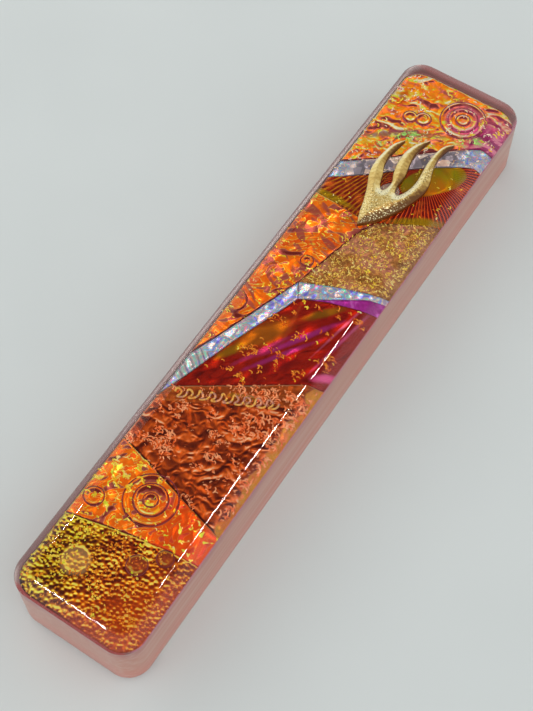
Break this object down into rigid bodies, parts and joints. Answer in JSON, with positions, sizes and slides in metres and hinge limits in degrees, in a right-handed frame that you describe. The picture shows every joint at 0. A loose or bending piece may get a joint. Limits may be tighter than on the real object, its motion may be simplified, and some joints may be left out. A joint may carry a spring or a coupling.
{
  "type": "mezuzah case",
  "caption": "Slim round-cornered fused glass mezuzah case with a clear-capped glass mosaic, a raised three-armed emblem, a scroll channel behind and a sliding back cover.",
  "frame": {"origin": "centre of the bounding box's lower face, in the plane of the liners' outer faces, with the case lying on its back", "axes": "+Z out of the glass front, +Y towards the top end of the case as it hangs, X across its width"},
  "size_m": [0.0292, 0.1524, 0.0206],
  "materials": {
    "case_glass": "satin translucent pink glass",
    "cap_glass": "fire-polished clear glass",
    "amber_glass": "rippled orange and gold foil glass",
    "silver_glass": "iridescent silver foil glass",
    "ruby_glass": "deep red glass with amber patches",
    "gold_glass": "granular gold foil glass",
    "magenta_glass": "streaky magenta glass",
    "copper_glass": "crinkled copper foil glass",
    "emblem_gold": "satin pale gold plate",
    "clear_glue": "clear set glue",
    "rail_metal": "drawn, matt",
    "cover_plastic": "fine matt sheet",
    "parchment": "scraped skin",
    "sleeve_film": "thin clear film",
    "tape_foam": "closed-cell foam",
    "liner_paper": "waxed release paper"
  },
  "bodies": {
    "case": {"case_body": "case_glass", "clear_cap": "cap_glass", "glass_crown_ripple": "amber_glass", "glass_silver_band": "silver_glass", "glass_sunburst": "ruby_glass", "glass_amber_ripple": "amber_glass", "glass_champagne_grain": "gold_glass", "glass_chevron_left": "silver_glass", "glass_chevron_right": "silver_glass", "glass_magenta_sliver": "magenta_glass", "glass_ruby_streak": "ruby_glass", "glass_copper_crinkle": "copper_glass", "glass_amber_spiral": "amber_glass", "glass_gold_grain": "gold_glass", "shin_emblem": "emblem_gold", "emblem_glue_pad": "clear_glue", "rail_left": "rail_metal", "rail_right": "rail_metal", "mounting_tape_left": "tape_foam", "mounting_tape_right": "tape_foam", "tape_liner_left": "liner_paper", "tape_liner_right": "liner_paper"},
    "cover": {"back_cover": "cover_plastic"},
    "scroll": {"parchment_scroll": "parchment", "scroll_sleeve": "sleeve_film"}
  },
  "joints": [
    {"name": "cover_slide", "type": "slide", "parent": "case", "child": "cover", "axis": [0, 1, 0], "range_m": [0, 0.14]},
    {"name": "scroll_shift", "type": "slide", "parent": "case", "child": "scroll", "axis": [0, 1, 0], "range_m": [-0.0095, 0.0095]}
  ]
}
